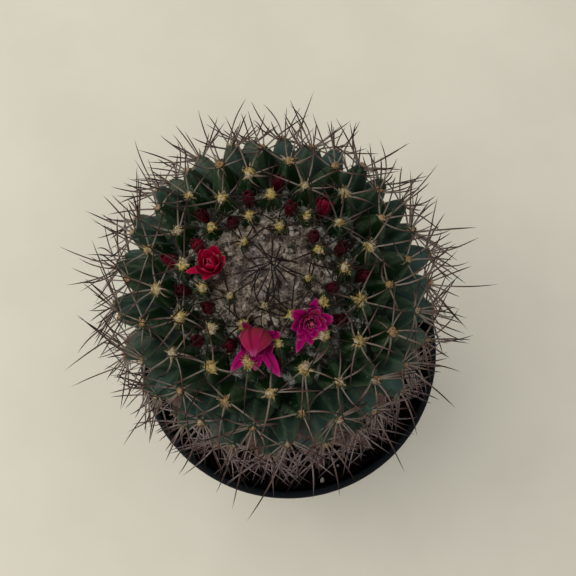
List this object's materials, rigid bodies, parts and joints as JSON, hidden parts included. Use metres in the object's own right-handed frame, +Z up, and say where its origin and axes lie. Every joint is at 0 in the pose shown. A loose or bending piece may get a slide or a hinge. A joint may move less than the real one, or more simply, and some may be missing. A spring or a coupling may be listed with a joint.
{
  "type": "potted round cactus",
  "caption": "Squat globe cactus with spiral tubercles, long curved spines and small pink blooms round a woolly crown, growing in a thin round black nursery pot.",
  "frame": {"origin": "middle of the pot's flat underside, on the surface that it stands on", "axes": "+Z up along the pot's axis; -Y is the front, from which the plant is looked down on; +X is to the right"},
  "size_m": [0.1498, 0.1498, 0.1771],
  "materials": {
    "pot_plastic": "satin",
    "soil": "rough",
    "stem_flesh": "satin",
    "crown_felt": "matte",
    "petal_crimson": "satin",
    "petal_magenta": "satin",
    "bud_skin": "satin"
  },
  "bodies": {
    "root": {"pot": "pot_plastic", "soil": "soil", "cactus_stem": "stem_flesh", "crown_wool": "crown_felt", "flower_crimson": "petal_crimson", "flower_front": "petal_magenta", "flower_right": "petal_magenta", "bud_01": "bud_skin", "bud_02": "bud_skin", "bud_03": "bud_skin", "bud_04": "bud_skin", "bud_05": "bud_skin", "bud_06": "bud_skin", "bud_07": "bud_skin", "bud_08": "bud_skin", "bud_09": "bud_skin", "bud_10": "bud_skin", "bud_11": "bud_skin", "bud_12": "bud_skin", "bud_13": "bud_skin", "bud_14": "bud_skin", "bud_15": "bud_skin", "bud_16": "bud_skin", "bud_17": "bud_skin", "bud_18": "bud_skin"}
  },
  "joints": []
}
